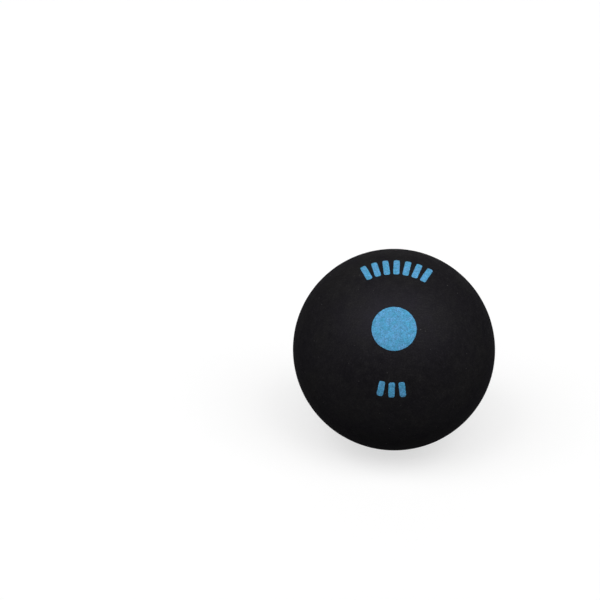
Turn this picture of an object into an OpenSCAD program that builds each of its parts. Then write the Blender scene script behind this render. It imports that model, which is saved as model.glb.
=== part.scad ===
// Hollow rubber squash ball of the larger size made for beginners. Two moulded half-shells are cemented
// edge to edge, and a mark in one colour of ink is printed on the front half. Millimetres, +Z up, with the
// origin at the ball's centre. The printed face looks towards -Y and upwards, as the ball lies.

/* [Ball] */
// Outside diameter of the ball
ball_diameter = 45; // [40:0.5:60]
// Thickness of the rubber wall
wall_thickness = 4; // [3:0.1:6]
// Angle of the printed face's middle above the horizontal
print_elevation = 39; // [0:1:90]

/* [Seam] */
// Thickness of the cured cement between the edges of the half-shells
cement_thickness = 0.2; // [0.1:0.05:0.6]
// Width of the bevel that buffing leaves round the outer edge of each half-shell
edge_bevel = 0.2; // [0.1:0.05:0.6]
// Radius of the bead of cement squeezed out along the inside of the seam
bead_radius = 0.6; // [0.4:0.1:1.2]

/* [Print] */
// Thickness of the printed ink
ink_thickness = 0.05; // [0.03:0.01:0.2]
// Diameter of the speed dot at the middle of the printed face
dot_diameter = 9.2; // [4:0.2:14]
// Width of each bar across its row
bar_width = 1.3; // [0.9:0.1:1.7]
// Radius of the corners of the bars
bar_corner_radius = 0.4; // [0.1:0.05:0.4]
// Distance from the dot's middle to the middle of the upper row
upper_row_radius = 14.4; // [12:0.1:16]
// Length of the bars of the upper row
upper_bar_length = 4; // [2:0.1:5]
// Number of bars in the upper row
upper_bar_count = 7; // [3:2:9]
// Distance from the dot's middle to the middle of the lower row
lower_row_radius = 12.2; // [11:0.1:16]
// Length of the bars of the lower row
lower_bar_length = 2.8; // [2:0.1:5]
// Number of bars in the lower row
lower_bar_count = 3; // [1:2:9]
// Distance between the middles of neighbouring bars in a row
bar_pitch = 2.2; // [2:0.1:3.5]

/* [Hidden] */
$fn = 128;

rubber_colour = "#201f22";
cement_colour = "#2b2926";
ink_colour = "#5aa6d6";

outer_radius = ball_diameter / 2;
inner_radius = outer_radius - wall_thickness;
half_gap = cement_thickness / 2;
dot_radius = dot_diameter / 2;
// How far every cut and clipping shape runs past what it cuts
overrun = 1;

// Lays the ball down: the printed face's middle turns from +Z to its place in front
module laid() {
    rotate([90 - print_elevation, 0, 0]) children();
}

// Quarter section of the rubber wall, from the pole of the printed face down to the seam plane
module wall_quarter() {
    intersection() {
        difference() {
            circle(r = outer_radius);
            circle(r = inner_radius);
        }
        square(outer_radius + overrun);
    }
}

// Section of the space that the cement fills between the edges, flared at the bevels
module seam_gap() {
    polygon([
        [inner_radius - overrun, -half_gap],
        [outer_radius - edge_bevel, -half_gap],
        [outer_radius + overrun, -half_gap - edge_bevel - overrun],
        [outer_radius + overrun, half_gap + edge_bevel + overrun],
        [outer_radius - edge_bevel, half_gap],
        [inner_radius - overrun, half_gap],
    ]);
}

// One moulded half of the ball, with its pole on +Z
module half_shell() {
    rotate_extrude()
        difference() {
            wall_quarter();
            seam_gap();
        }
}

// Section of the cement: the filled gap, buffed flush outside, and the bead inside the cavity
module cement_section() {
    intersection() {
        difference() {
            circle(r = outer_radius);
            circle(r = inner_radius);
        }
        seam_gap();
    }
    intersection() {
        circle(r = inner_radius);
        translate([inner_radius, 0]) circle(r = bead_radius);
    }
}

// The whole skin of the ball, as thick as the ink
module ink_skin() {
    difference() {
        sphere(r = outer_radius + ink_thickness);
        sphere(r = outer_radius);
    }
}

// Flat outline of one bar with rounded corners, centred
module bar_outline(length) {
    square([bar_width, length - 2 * bar_corner_radius], center = true);
    square([bar_width - 2 * bar_corner_radius, length], center = true);
    for (x = [-1, 1], y = [-1, 1])
        translate([
            x * (bar_width / 2 - bar_corner_radius),
            y * (length / 2 - bar_corner_radius),
        ])
            circle(r = bar_corner_radius);
}

// Bars of ink set side by side on an arc round the dot. A positive radius is above it, a negative one below
module bar_row(count, radius, length) {
    step = 2 * asin(bar_pitch / (2 * abs(radius)));
    for (i = [0 : count - 1])
        rotate([0, 0, (i - (count - 1) / 2) * step])
            intersection() {
                ink_skin();
                translate([0, radius, 0])
                    linear_extrude(height = outer_radius + overrun)
                        bar_outline(length);
            }
}

module front_half_shell() {
    color(rubber_colour) laid() half_shell();
}

module rear_half_shell() {
    color(rubber_colour) laid() mirror([0, 0, 1]) half_shell();
}

module seam_cement() {
    color(cement_colour) laid() rotate_extrude() cement_section();
}

module speed_dot() {
    color(ink_colour)
        laid()
            intersection() {
                ink_skin();
                cylinder(r = dot_radius, h = outer_radius + overrun);
            }
}

module upper_bars() {
    color(ink_colour) laid() bar_row(upper_bar_count, upper_row_radius, upper_bar_length);
}

module lower_bars() {
    color(ink_colour) laid() bar_row(lower_bar_count, -lower_row_radius, lower_bar_length);
}

front_half_shell();
rear_half_shell();
seam_cement();
speed_dot();
upper_bars();
lower_bars();
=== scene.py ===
"""Looks of a hollow rubber squash ball: buffed rubber half-shells, the seam and a printed mark.

Metres, in the frame of the solids: the origin is the ball's centre, +Z is up, and the printed face looks
along -Y and upwards."""
import math

import bpy
from mathutils import Matrix, Vector, noise


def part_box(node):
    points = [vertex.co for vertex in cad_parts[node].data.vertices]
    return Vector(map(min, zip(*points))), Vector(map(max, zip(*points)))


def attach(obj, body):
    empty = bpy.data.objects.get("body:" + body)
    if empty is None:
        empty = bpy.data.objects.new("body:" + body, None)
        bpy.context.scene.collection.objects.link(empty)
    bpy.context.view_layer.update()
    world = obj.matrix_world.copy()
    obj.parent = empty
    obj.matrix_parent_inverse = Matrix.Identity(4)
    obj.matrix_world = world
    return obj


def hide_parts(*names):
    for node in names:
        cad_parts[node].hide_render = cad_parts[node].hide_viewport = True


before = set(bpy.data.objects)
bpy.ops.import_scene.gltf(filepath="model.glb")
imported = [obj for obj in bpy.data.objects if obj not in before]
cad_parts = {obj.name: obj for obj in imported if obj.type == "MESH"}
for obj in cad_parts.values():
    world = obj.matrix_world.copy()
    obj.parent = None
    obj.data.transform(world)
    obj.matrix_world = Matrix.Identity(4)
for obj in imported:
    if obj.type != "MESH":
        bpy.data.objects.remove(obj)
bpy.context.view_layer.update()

MM = 0.001
WHOLE = (0.0, 1.0)

# Sizes of the solids
low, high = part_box("front_half_shell")
BALL_RADIUS = (high.x - low.x) / 2
WALL = 4.0 * MM
CAVITY_RADIUS = BALL_RADIUS - WALL
CEMENT_HALF = 0.1 * MM
EDGE_BEVEL = 0.2 * MM
BEAD_RADIUS = 0.6 * MM
PRINT_ELEVATION = math.radians(39)
low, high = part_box("speed_dot")
DOT_RADIUS = (high.x - low.x) / 2
BAR_WIDTH = 1.3 * MM
BAR_CORNER = 0.4 * MM
BAR_PITCH = 2.2 * MM
UPPER_ROW = {"count": 7, "radius": 14.4 * MM, "length": 4.0 * MM}
LOWER_ROW = {"count": 3, "radius": -12.2 * MM, "length": 2.8 * MM}

# Relief of the buffed skin: depth and width of its soft waves and of its grain. The shift reads the grain at
# another place of the noise than the waves
WAVE_DEPTH, WAVE_SIZE = 0.018 * MM, 3.2 * MM
GRAIN_DEPTH, GRAIN_SIZE = 0.007 * MM, 0.8 * MM
GRAIN_SHIFT = Vector((7.1, 3.3, 5.7))

# The ink lies on the relief. It thins out close to its edge, the more suddenly the higher the power, and
# ends under the skin at its root
INK_THICKNESS = 0.03 * MM
INK_EDGE_POWER = 10
INK_ROOT = 0.05 * MM
# How far the ink's edges waver, in waves of that width, and how strong and how many times finer the waves on
# these are. The shifts keep the waver across apart from the waver along
INK_WAVER, INK_WAVER_SIZE = 0.04 * MM, 0.55 * MM
INK_FINE_SHARE, INK_FINE_RATE = 0.7, 3.1
ACROSS_SHIFT, ALONG_SHIFT = Vector((0.4, 0.7, 0.3)), Vector((5.6, 8.3, 2.8))

# How far the cement lies under the skin along the seam, and how uneven that dip and the bead are
SEAM_DIP = 0.02 * MM
DIP_UNEVEN, BEAD_UNEVEN = 0.5, 0.15

# Cells along a quarter turn of the skin, and of the cavity, which has half as many, and the width of the
# ink's cells
SKIN_CELLS = 144
CAVITY_CELLS = SKIN_CELLS // 2
INK_STEP = 0.06 * MM
# Places across a half-shell's flat edge and across the cement's outside, as shares, and steps round the bead
FLAT_SHARES = (0.03, 0.3, 0.6, 0.97)
CEMENT_SHARES = (1, 0.5, 0, -0.5, -1)
BEAD_STEPS = 12
SHARP_ANGLE = math.radians(40)

# Between which values most noise lies, and between which a patch's edge, a change of hue, a mark, a speck's
# edge and a glancing view begin and are complete
NOISE_SPAN = (0.3, 0.7)
PATCH_SPAN = (0.38, 0.62)
HUE_SPAN = (0.35, 0.65)
MARK_SPAN = (0.58, 0.74)
SPECK_SPAN = (-0.005, 0.015)
GLANCE_SPAN = (0.15, 0.6)
# The reach of a speck that isn't there, which is below the start of a speck's edge
NO_REACH = -0.01
# The least roughness of a buffed skin where the glancing view begins, and where it is complete
GLANCE_ROUGHNESS = (0.5, 1.0)

# In the materials, a noise is its size, its finer layers and how strong these are. Marks are their width,
# how many times longer they are, and how they are turned. Specks are how far apart they lie, the share of
# places that has one, and the radius of the largest. Tones are how many times lighter a pattern makes the
# colour, at its least and at its most. A bump is the depth of the finest relief, which is too small for the
# meshes

# Rubber
RUBBER_DARK = (0.0065, 0.0060, 0.0067, 1.0)
RUBBER_PALE = (0.0080, 0.0077, 0.0074, 1.0)
RUBBER_PATCHES = (6.5 * MM, 3, 0.55)
RUBBER_MOTTLE = (1.6 * MM, 5, 0.62)
RUBBER_MOTTLE_TONES = (0.72, 1.28)
RUBBER_GRAIN = (0.26 * MM, 3, 0.7)
RUBBER_GRAIN_TONES = (0.72, 1.34)
BUFFING_MARKS = (
    (0.22 * MM, 9, (0.2, 0.25, 0.15)),
    (0.20 * MM, 7, (0.1, 0.9, 0.3)),
    (0.20 * MM, 7, (0.3, -1.1, 0.1)),
    (0.22 * MM, 7, (0.2, 0.4, 1.5)),
)
BUFFING_TONES = (0.95, 1.9)
PITS = (1.9 * MM, 0.4, 0.16 * MM)
# The pits are painted darker down to these tones: painted shade in the pits, which are also dents in the
# bump
PIT_SHADE_TONES = (1.0, 0.35)
DUST = ((1.1 * MM, 0.5, 0.12 * MM), (3.1 * MM, 0.6, 0.24 * MM))
DUST_GREY = (0.11, 0.107, 0.104, 1.0)
# How much the dust covers, at the grain's least and at its most
DUST_COVER = (0.25, 0.9)
# The roughness goes by the sum of patches and mottle, from which a mark takes its shine away
UNEVEN_SPAN = (0.6, 1.4)
RUBBER_ROUGHNESS = (0.44, 0.70)
MARK_SHINE = 0.12
RUBBER_GLOSS = 0.17
RUBBER_GLOSS_COLOUR = (0.82, 0.77, 1.0, 1.0)
RUBBER_BUMP = 0.022 * MM
# How deep the marks and pits are, against the height of the grain
DENT_SHARE = 0.5

# Cement
CEMENT_DARK = (0.0150, 0.0138, 0.0127, 1.0)
CEMENT_PALE = (0.0270, 0.0248, 0.0225, 1.0)
CEMENT_MOTTLE = (0.9 * MM, 5, 0.65)
CEMENT_GRAIN = (0.12 * MM, 3, 0.7)
CEMENT_GRAIN_TONES = (0.75, 1.3)
CEMENT_ROUGHNESS = (0.60, 0.80)
CEMENT_GLOSS = 0.12
CEMENT_BUMP = 0.02 * MM

# Ink
INK_CYAN = (0.074, 0.368, 0.615, 1.0)
INK_BLUE = (0.110, 0.366, 0.655, 1.0)
INK_HUE = (1.3 * MM, 2, 0.5)
INK_COVER = (0.6 * MM, 4, 0.65)
INK_COVER_TONES = (0.80, 1.19)
INK_GRAIN = (0.22 * MM, 3, 0.7)
INK_GRAIN_TONES = (0.58, 1.42)
STREAKS = (0.20 * MM, 5, (0.15, 0.2, -0.45))
STREAK_TONES = (1.03, 0.68)
PINHOLES = (0.32 * MM, 0.5, 0.075 * MM)
# How much of the ink is missing in a pinhole, and the colour that shows there
PINHOLE_LOSS = 0.75
PINHOLE_BLUE = (0.020, 0.075, 0.130, 1.0)
INK_ROUGHNESS = (0.72, 0.58)
INK_GLOSS = 0.25
INK_BUMP = 0.015 * MM

# Key light: strength, height, width of each of its three lamps, and angle between neighbours, in degrees
KEY_STRENGTH, KEY_ELEVATION, KEY_WIDTH, KEY_SPREAD = 0.90, 65, 44, 32
# Fill light behind: strength, height and width
FILL_STRENGTH, FILL_ELEVATION, FILL_WIDTH = 0.60, 3, 60
# The even light of the room, and the floor's grey to the ball
ROOM_LIGHT, ROOM_GREY = 0.10, 0.17
# The floor's white to the camera: the part that shadows darken, and the part that they don't
PAPER, PAPER_GLOW = 0.42, 0.63
# How much of the pale studio gloss shows
GLOSS_SHARE = 0.10
FLOOR_REACH = 6.0

# Turns the printed face's middle from +Z to its place in front
LAID = Matrix.Rotation(math.pi / 2 - PRINT_ELEVATION, 4, "X")


def relief(point):
    """Depth of the skin under the true ball at a point of it, zero or less."""
    wave = noise.noise(point / WAVE_SIZE)
    grain = noise.noise(point / GRAIN_SIZE + GRAIN_SHIFT)
    return -WAVE_DEPTH * (1 + wave) / 2 - GRAIN_DEPTH * (1 + grain) / 2


def on_skin(direction, extra=0.0):
    """The point of the skin in that direction from the centre, raised by extra."""
    direction = direction.normalized()
    return direction * (BALL_RADIUS + relief(direction * BALL_RADIUS) + extra)


def add_mesh(name, points, faces):
    """A smooth mesh object, laid down, from points in the upright frame, with the printed face on +Z."""
    mesh = bpy.data.meshes.new(name)
    mesh.from_pydata([LAID @ p for p in points], [], faces)
    mesh.validate()
    mesh.polygons.foreach_set("use_smooth", [True] * len(mesh.polygons))
    mesh.set_sharp_from_angle(angle=SHARP_ANGLE)
    piece = bpy.data.objects.new(name, mesh)
    bpy.context.scene.collection.objects.link(piece)
    return piece


def dome(cells, lowest):
    """Directions and quads of a half ball round +Z that starts at the latitude lowest, and its rim in order.
    It is half a cube's surface, blown up to a ball, so that it has no pole."""
    half = cells // 2
    index = {}
    faces = []

    def at(*place):
        return index.setdefault(place, len(index))

    for a in range(cells):
        for b in range(cells):
            corners = ((a, b), (a + 1, b), (a + 1, b + 1), (a, b + 1))
            faces.append(tuple(at(*corner, cells) for corner in corners))
        for k in range(half, cells):
            for fixed, (s, e) in ((cells, (a, a + 1)), (0, (a + 1, a))):
                faces.append((at(fixed, s, k), at(fixed, e, k), at(fixed, e, k + 1), at(fixed, s, k + 1)))
                faces.append((at(e, fixed, k), at(s, fixed, k), at(s, fixed, k + 1), at(e, fixed, k + 1)))
    directions = []
    for place in index:
        x, y, z = (math.tan((2 * c / cells - 1) * math.pi / 4) for c in place)
        latitude = math.atan2(z, math.hypot(x, y))
        latitude = lowest + latitude * (1 - lowest / (math.pi / 2))
        turn = math.atan2(y, x)
        directions.append(Vector((
            math.cos(turn) * math.cos(latitude),
            math.sin(turn) * math.cos(latitude),
            math.sin(latitude),
        )))
    rim = [n for place, n in index.items() if place[2] == half]
    rim.sort(key=lambda n: math.atan2(directions[n].y, directions[n].x) % (2 * math.pi))
    return directions, faces, rim


def half_shell(name, side):
    """A closed half of the wall. side is 1 for the front half and -1 for the rear one."""
    skin_start = math.asin((CEMENT_HALF + EDGE_BEVEL) / BALL_RADIUS)
    cavity_start = math.asin(CEMENT_HALF / CAVITY_RADIUS)
    directions, faces, rim = dome(SKIN_CELLS, skin_start)
    mirror = Vector((1, 1, side))
    points = [on_skin(d * mirror) for d in directions]
    # the buffed bevel and the flat edge, as rings from the skin inwards
    ring = rim
    flat = BALL_RADIUS - EDGE_BEVEL
    for share in (0, *FLAT_SHARES):
        start = len(points)
        for n in rim:
            out = Vector((directions[n].x, directions[n].y)).normalized()
            out *= flat + (CAVITY_RADIUS - flat) * share
            points.append(Vector((out.x, out.y, CEMENT_HALF * side)))
        next_ring = range(start, start + len(rim))
        for i, n in enumerate(ring):
            j = (i + 1) % len(rim)
            faces.append((ring[j], n, next_ring[i], next_ring[j]))
        ring = next_ring
    # the cavity, joined to the last ring by three triangles to each of its own rim's cells
    directions, inner_faces, inner_rim = dome(CAVITY_CELLS, cavity_start)
    start = len(points)
    points += [d * mirror * CAVITY_RADIUS for d in directions]
    faces += [tuple(start + n for n in reversed(face)) for face in inner_faces]
    inner_rim = [start + n for n in inner_rim]
    for m, n in enumerate(inner_rim):
        after = inner_rim[(m + 1) % len(inner_rim)]
        first, middle, last = (ring[(2 * m + step) % len(ring)] for step in (0, 1, 2))
        faces += [(middle, first, n), (middle, n, after), (last, middle, after)]
    if side < 0:
        faces = [tuple(reversed(face)) for face in faces]
    return add_mesh(name, points, faces)


def seam_ring(name):
    """The cement between the edges: dipped and uneven outside, and squeezed into a bead inside."""
    start = (CEMENT_HALF + EDGE_BEVEL) / BALL_RADIUS
    lift = Vector((0, 0, CEMENT_HALF))
    rings = 4 * SKIN_CELLS
    points, faces = [], []
    for i in range(rings):
        turn = 2 * math.pi * i / rings
        out = Vector((math.cos(turn), math.sin(turn), 0))
        place = out * BALL_RADIUS
        section = []
        for share in CEMENT_SHARES:
            dip = SEAM_DIP * (1 - share * share) * (1 + DIP_UNEVEN * noise.noise(place / GRAIN_SIZE))
            section.append(on_skin(out + Vector((0, 0, start * share)), -dip))
        section.append(out * (BALL_RADIUS - EDGE_BEVEL) - lift)
        section.append(out * (CAVITY_RADIUS + EDGE_BEVEL) - lift)
        swell = 1 - BEAD_UNEVEN + BEAD_UNEVEN * noise.noise(place / WAVE_SIZE)
        for step in range(BEAD_STEPS + 1):
            angle = (step / BEAD_STEPS - 0.5) * math.pi
            inward = BEAD_RADIUS * math.cos(angle) * swell
            rise = BEAD_RADIUS * math.sin(angle) * swell
            radius = math.sqrt(CAVITY_RADIUS**2 - rise**2) - inward
            section.append(out * radius + Vector((0, 0, rise)))
        section.append(out * (CAVITY_RADIUS + EDGE_BEVEL) + lift)
        section.append(out * (BALL_RADIUS - EDGE_BEVEL) + lift)
        points += section
    count = len(section)
    for i in range(rings):
        j = (i + 1) % rings
        for k in range(count):
            m = (k + 1) % count
            faces.append((i * count + k, i * count + m, j * count + m, j * count + k))
    return add_mesh(name, points, faces)


def rounded(x, y, flat_x, flat_y, corner):
    """Moves a point of a rectangle to its place in the rectangle with round corners."""
    over_x, over_y = max(abs(x) - flat_x, 0) / corner, max(abs(y) - flat_y, 0) / corner
    if over_x and over_y:
        x = math.copysign(flat_x + corner * over_x * math.sqrt(1 - over_y**2 / 2), x)
        y = math.copysign(flat_y + corner * over_y * math.sqrt(1 - over_x**2 / 2), y)
    return x, y


def waver(place):
    """How far the uneven ink strays at a place of the noise, by coarse waves and the finer ones on them."""
    return INK_WAVER * (noise.noise(place) + INK_FINE_SHARE * noise.noise(place * INK_FINE_RATE))


def film(name, patches):
    """Ink on the skin. Each patch is (width, length, corner radius, turn, distance up from the middle)."""
    points, faces = [], []
    for width, length, corner, turn, distance in patches:
        across = round(width / INK_STEP)
        along = round(length / INK_STEP)
        half_x, half_y = width / 2, length / 2
        spin = Matrix.Rotation(turn, 2)
        base = len(points)
        layer = (across + 1) * (along + 1)
        for top in (True, False):
            for j in range(along + 1):
                for i in range(across + 1):
                    u, v = 2 * i / across - 1, 2 * j / along - 1
                    x, y = rounded(u * half_x, v * half_y, half_x - corner, half_y - corner, corner)
                    x, y = spin @ Vector((x, y + distance))
                    place = Vector((x, y, 0)) / INK_WAVER_SIZE
                    x += waver(place + ACROSS_SHIFT)
                    y += waver(place + ALONG_SHIFT)
                    out = Vector((x, y, math.sqrt(BALL_RADIUS**2 - x * x - y * y)))
                    edge = max(abs(u), abs(v)) ** INK_EDGE_POWER
                    points.append(on_skin(out, INK_THICKNESS * (1 - edge) if top else -INK_ROOT))
        for j in range(along):
            for i in range(across):
                n = base + j * (across + 1) + i
                quad = (n, n + 1, n + across + 2, n + across + 1)
                faces.append(quad)
                faces.append(tuple(q + layer for q in reversed(quad)))
        border = list(range(across))
        border += [across + j * (across + 1) for j in range(along)]
        border += [along * (across + 1) + i for i in range(across, 0, -1)]
        border += [j * (across + 1) for j in range(along, 0, -1)]
        for n, m in zip(border, border[1:] + border[:1]):
            faces.append((base + m, base + n, base + n + layer, base + m + layer))
    return add_mesh(name, points, faces)


def row_of_bars(row):
    """The patches of a row of bars on an arc round the dot."""
    step = 2 * math.asin(BAR_PITCH / (2 * abs(row["radius"])))
    return [
        (BAR_WIDTH, row["length"], BAR_CORNER, (i - (row["count"] - 1) / 2) * step, row["radius"])
        for i in range(row["count"])
    ]


class Nodes:
    """A short hand for building a tree of nodes."""

    def __init__(self, tree):
        self.tree = tree

    def add(self, kind, values=None, **settings):
        """A new node of that kind, with those values fed to its inputs."""
        node = self.tree.nodes.new(kind)
        for key, value in settings.items():
            setattr(node, key, value)
        for key, value in (values or {}).items():
            self.feed(node.inputs[key], value)
        return node

    def feed(self, socket, value):
        """Links the value to the socket if it comes from a node, and otherwise sets it there."""
        if isinstance(value, bpy.types.NodeSocket):
            self.tree.links.new(value, socket)
        else:
            socket.default_value = value

    def math(self, operation, a, b):
        """The result of that operation on a and b."""
        return self.add("ShaderNodeMath", {0: a, 1: b}, operation=operation).outputs[0]

    def strongest(self, values):
        """The largest of the values at each place."""
        total, *others = values
        for value in others:
            total = self.math("MAXIMUM", total, value)
        return total

    def ramp(self, value, span, ends=WHOLE):
        """The first of the ends where the value is at the start of its span, and the second at its end."""
        values = {
            "Value": value,
            "From Min": span[0],
            "From Max": span[1],
            "To Min": ends[0],
            "To Max": ends[1],
        }
        return self.add("ShaderNodeMapRange", values).outputs["Result"]

    def mix(self, share, a, b):
        """Colour a where share is 0, and b where it is 1."""
        return self.add("ShaderNodeMix", {0: share, 6: a, 7: b}, data_type="RGBA").outputs[2]

    def shade(self, tone, value, span, tones):
        """The colour, made as many times lighter as the tones say over the value's span."""
        values = {0: tone, "Scale": self.ramp(value, span, tones)}
        return self.add("ShaderNodeVectorMath", values, operation="SCALE").outputs[0]


class Material(Nodes):
    """The nodes of a new material, with patterns that keep their place on the ball."""

    def __init__(self, name):
        self.material = bpy.data.materials.new(name)
        self.material.use_nodes = True
        super().__init__(self.material.node_tree)
        self.shader = self.tree.nodes["Principled BSDF"]
        self.place = self.add("ShaderNodeTexCoord").outputs["Object"]

    def noise(self, size, detail, roughness, place=None):
        """Noise of about that size, from 0 to 1."""
        values = {
            "Vector": place or self.place,
            "Scale": 1 / size,
            "Detail": detail,
            "Roughness": roughness,
        }
        return self.add("ShaderNodeTexNoise", values).outputs["Fac"]

    def marks(self, width, stretch, turn):
        """Short scratches, from 0 to 1, of that width, drawn out along the X axis after it is turned."""
        values = {"Vector": self.place, "Rotation": turn, "Scale": (stretch, 1.0, 1.0)}
        drawn = self.add("ShaderNodeMapping", values, vector_type="TEXTURE").outputs["Vector"]
        return self.ramp(self.noise(width, detail=1, roughness=0.5, place=drawn), MARK_SPAN)

    def specks(self, spacing, share, radius):
        """Ragged dots up to that radius, 1 inside and 0 outside, in that share of the cells of that size."""
        values = {"Vector": self.place, "Scale": 1 / radius}
        shift = self.add("ShaderNodeTexNoise", values).outputs["Color"]
        values = {0: shift, 1: (radius, radius, radius), 2: self.place}
        shaken = self.add("ShaderNodeVectorMath", values, operation="MULTIPLY_ADD").outputs[0]
        cells = self.add("ShaderNodeTexVoronoi", {"Vector": shaken, "Scale": 1 / spacing})
        lot = self.add("ShaderNodeSeparateColor", {"Color": cells.outputs["Color"]}).outputs["Red"]
        reach = self.ramp(lot, (1 - share, 1.0), (NO_REACH, radius / spacing))
        return self.ramp(self.math("SUBTRACT", reach, cells.outputs["Distance"]), SPECK_SPAN)

    def buffed(self, rough):
        """The roughness of a buffed skin, which has hardly any gloss at a glancing angle."""
        facing = self.add("ShaderNodeLayerWeight").outputs["Facing"]
        return self.math("MAXIMUM", rough, self.ramp(facing, GLANCE_SPAN, GLANCE_ROUGHNESS))

    def finished(self, tone, rough, height, bump, gloss):
        """The material, with this colour, roughness, relief and level of gloss fed to its shader."""
        normal = self.add("ShaderNodeBump", {"Height": height, "Distance": bump}).outputs["Normal"]
        self.feed(self.shader.inputs["Base Color"], tone)
        self.feed(self.shader.inputs["Roughness"], rough)
        self.feed(self.shader.inputs["Normal"], normal)
        self.shader.inputs["Specular IOR Level"].default_value = gloss
        return self.material


def rubber_material():
    """Black rubber, tumbled and buffed: patchy, grainy, with short marks, a few pits and specks of dust."""
    nodes = Material("rubber")
    patches = nodes.noise(*RUBBER_PATCHES)
    mottle = nodes.noise(*RUBBER_MOTTLE)
    grain = nodes.noise(*RUBBER_GRAIN)
    marks = nodes.strongest(nodes.marks(*group) for group in BUFFING_MARKS)
    pits = nodes.specks(*PITS)
    dust = nodes.strongest(nodes.specks(*group) for group in DUST)
    tone = nodes.mix(nodes.ramp(patches, PATCH_SPAN), RUBBER_DARK, RUBBER_PALE)
    tone = nodes.shade(tone, mottle, NOISE_SPAN, RUBBER_MOTTLE_TONES)
    tone = nodes.shade(tone, grain, NOISE_SPAN, RUBBER_GRAIN_TONES)
    tone = nodes.shade(tone, marks, WHOLE, BUFFING_TONES)
    # painted shade: the colour is darker inside the pits
    tone = nodes.shade(tone, pits, WHOLE, PIT_SHADE_TONES)
    cover = nodes.math("MULTIPLY", dust, nodes.ramp(grain, NOISE_SPAN, DUST_COVER))
    tone = nodes.mix(cover, tone, DUST_GREY)
    uneven = nodes.math("ADD", mottle, patches)
    uneven = nodes.math("SUBTRACT", uneven, nodes.math("MULTIPLY", marks, MARK_SHINE))
    rough = nodes.buffed(nodes.ramp(uneven, UNEVEN_SPAN, RUBBER_ROUGHNESS))
    dents = nodes.math("MULTIPLY", nodes.math("ADD", marks, pits), -DENT_SHARE)
    height = nodes.math("ADD", grain, dents)
    nodes.shader.inputs["Specular Tint"].default_value = RUBBER_GLOSS_COLOUR
    return nodes.finished(tone, rough, height, RUBBER_BUMP, RUBBER_GLOSS)


def cement_material():
    """Cured rubber cement, a little browner and duller than the skin beside it."""
    nodes = Material("cement")
    mottle = nodes.noise(*CEMENT_MOTTLE)
    grain = nodes.noise(*CEMENT_GRAIN)
    tone = nodes.mix(nodes.ramp(mottle, NOISE_SPAN), CEMENT_DARK, CEMENT_PALE)
    tone = nodes.shade(tone, grain, NOISE_SPAN, CEMENT_GRAIN_TONES)
    rough = nodes.buffed(nodes.ramp(mottle, NOISE_SPAN, CEMENT_ROUGHNESS))
    return nodes.finished(tone, rough, grain, CEMENT_BUMP, CEMENT_GLOSS)


def ink_material():
    """Light blue ink, thin and grainy, with pinholes where the rubber shows through it."""
    nodes = Material("ink")
    hue = nodes.noise(*INK_HUE)
    cover = nodes.noise(*INK_COVER)
    grain = nodes.noise(*INK_GRAIN)
    streaks = nodes.marks(*STREAKS)
    holes = nodes.specks(*PINHOLES)
    tone = nodes.mix(nodes.ramp(hue, HUE_SPAN), INK_CYAN, INK_BLUE)
    tone = nodes.shade(tone, cover, NOISE_SPAN, INK_COVER_TONES)
    tone = nodes.shade(tone, grain, NOISE_SPAN, INK_GRAIN_TONES)
    tone = nodes.shade(tone, streaks, WHOLE, STREAK_TONES)
    tone = nodes.mix(nodes.ramp(holes, WHOLE, (0.0, PINHOLE_LOSS)), tone, PINHOLE_BLUE)
    rough = nodes.ramp(grain, NOISE_SPAN, INK_ROUGHNESS)
    height = nodes.math("SUBTRACT", grain, holes)
    return nodes.finished(tone, rough, height, INK_BUMP, INK_GLOSS)


def grey(level):
    """An even grey of that level, which is white at 1."""
    return (level, level, level, 1.0)


def pale_share(nodes):
    """1 for a ray that shows the pale studio as the picture does, and 0 for one that lights the ball. Gloss
    shows part of it, because the ball was lit in a dimmer room than the white round it."""
    rays = nodes.add("ShaderNodeLightPath").outputs
    gloss = nodes.math("MULTIPLY", rays["Is Glossy Ray"], GLOSS_SHARE)
    return nodes.strongest((gloss, rays["Is Camera Ray"], rays["Is Transmission Ray"]))


def floor_material():
    """Grey to the ball. To the camera it is white, and keeps the ball's shadow."""
    nodes = Material("floor")
    nodes.shader.inputs["Base Color"].default_value = grey(ROOM_GREY)
    nodes.shader.inputs["Roughness"].default_value = 1.0
    nodes.shader.inputs["Specular IOR Level"].default_value = 0.0
    paper = nodes.add("ShaderNodeBsdfDiffuse", {"Color": grey(PAPER)})
    glow = nodes.add("ShaderNodeEmission", {"Strength": PAPER_GLOW})
    white = nodes.add("ShaderNodeAddShader", {0: paper.outputs[0], 1: glow.outputs[0]})
    shares = {0: pale_share(nodes), 1: nodes.shader.outputs[0], 2: white.outputs[0]}
    mixed = nodes.add("ShaderNodeMixShader", shares)
    nodes.feed(nodes.tree.nodes["Material Output"].inputs["Surface"], mixed.outputs[0])
    return nodes.material


def dress(piece, material, node):
    """Gives a piece its material, and puts it in its node's stead on the body root."""
    piece.data.materials.append(material)
    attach(piece, "root")
    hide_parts(node)


def add_floor():
    """A square floor under the ball, which reaches out of the picture."""
    mesh = bpy.data.meshes.new("floor")
    signs = ((-1, -1), (1, -1), (1, 1), (-1, 1))
    corners = [(x * FLOOR_REACH, y * FLOOR_REACH, -BALL_RADIUS) for x, y in signs]
    mesh.from_pydata(corners, [], [(0, 1, 2, 3)])
    mesh.materials.append(floor_material())
    floor = bpy.data.objects.new("floor", mesh)
    bpy.context.scene.collection.objects.link(floor)


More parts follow.
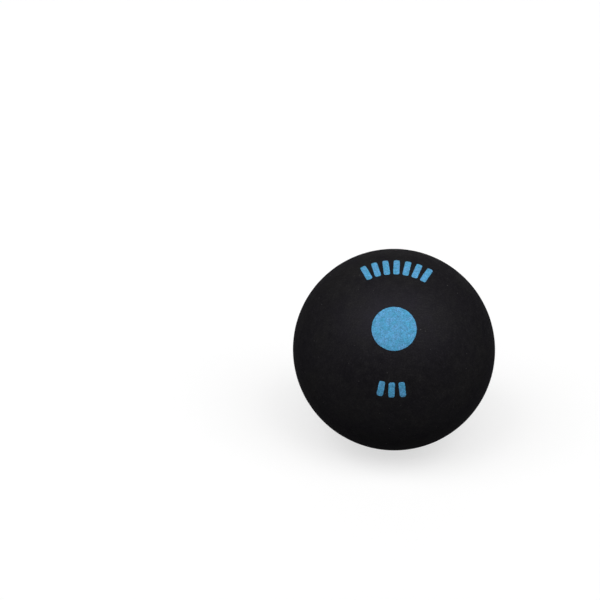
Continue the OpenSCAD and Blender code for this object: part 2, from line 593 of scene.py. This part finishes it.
def add_lamp(name, strength, elevation, width, side=0):
    """A far, soft lamp in front of the ball, or behind it at over 90 degrees of elevation, turned to one
    side. At strength 1 it shows a white surface that faces it as white."""
    elevation = math.radians(elevation)
    sun = bpy.data.lights.new(name, "SUN")
    sun.energy = strength * math.pi
    sun.angle = math.radians(width)
    lamp = bpy.data.objects.new(name, sun)
    source = Vector((0, -math.cos(elevation), math.sin(elevation)))
    axis = Vector((0, math.sin(elevation), math.cos(elevation)))
    across = Matrix.Rotation(math.radians(side), 3, axis)
    lamp.rotation_mode = "QUATERNION"
    lamp.rotation_quaternion = (across @ source).to_track_quat("Z", "Y")
    bpy.context.scene.collection.objects.link(lamp)
    return lamp


def add_light():
    """A broad soft light from high in front, as three lamps side by side, a weaker one from low behind, and
    a weak even light from all round."""
    sides = (-KEY_SPREAD, 0, KEY_SPREAD)
    for side in sides:
        add_lamp("key", KEY_STRENGTH / len(sides), KEY_ELEVATION, KEY_WIDTH, side)
    # the fill adds no gloss, which would give the matte ball a light rim, and no shadow, which would lie
    # across the white floor in front
    fill = add_lamp("fill", FILL_STRENGTH, 180 - FILL_ELEVATION, FILL_WIDTH)
    fill.visible_glossy = False
    fill.data.use_shadow = False

    world = bpy.data.worlds.new("studio")
    world.use_nodes = True
    bpy.context.scene.world = world
    nodes = Nodes(world.node_tree)
    sky = nodes.mix(pale_share(nodes), grey(ROOM_LIGHT), grey(1.0))
    nodes.feed(world.node_tree.nodes["Background"].inputs["Color"], sky)


def add_camera():
    """The photograph's view: the ball's outline is centred on its pixel there, and there is no roll."""
    frame_px = 600
    outline_x, outline_y = 394.0, 349.6
    focal_px = 1122.0
    distance = 252.5 * MM
    elevation = math.radians(28)
    # in perspective, the middle of the ball's outline lies a little further out than the ball's centre
    inward = 1 - (BALL_RADIUS / distance) ** 2
    across = (outline_x - frame_px / 2) / focal_px * inward
    down = (outline_y - frame_px / 2) / focal_px * inward
    reach = math.sqrt(1 + across**2 + down**2)
    pitch = math.asin(reach * math.sin(elevation) / math.hypot(1, down)) - math.atan(down)
    yaw = -math.asin(across / (reach * math.cos(elevation)))
    forward = Vector((math.sin(yaw) * math.cos(pitch), math.cos(yaw) * math.cos(pitch), -math.sin(pitch)))
    data = bpy.data.cameras.new("camera")
    data.sensor_width = 36.0
    data.lens = focal_px * data.sensor_width / frame_px
    data.clip_start = 10 * MM
    camera = bpy.data.objects.new("camera", data)
    camera.location = Vector((0, -math.cos(elevation), math.sin(elevation))) * distance
    camera.rotation_mode = "QUATERNION"
    camera.rotation_quaternion = forward.to_track_quat("-Z", "Y")
    bpy.context.scene.collection.objects.link(camera)
    bpy.context.scene.camera = camera


add_camera()
rubber, cement, ink = rubber_material(), cement_material(), ink_material()
dress(half_shell("front_shell", 1), rubber, "front_half_shell")
dress(half_shell("rear_shell", -1), rubber, "rear_half_shell")
dress(seam_ring("seam_ring"), cement, "seam_cement")
dot = [(2 * DOT_RADIUS, 2 * DOT_RADIUS, DOT_RADIUS, 0.0, 0.0)]
dress(film("dot_ink", dot), ink, "speed_dot")
dress(film("upper_ink", row_of_bars(UPPER_ROW)), ink, "upper_bars")
dress(film("lower_ink", row_of_bars(LOWER_ROW)), ink, "lower_bars")
add_floor()
add_light()
bpy.context.scene.view_settings.view_transform = "Standard"
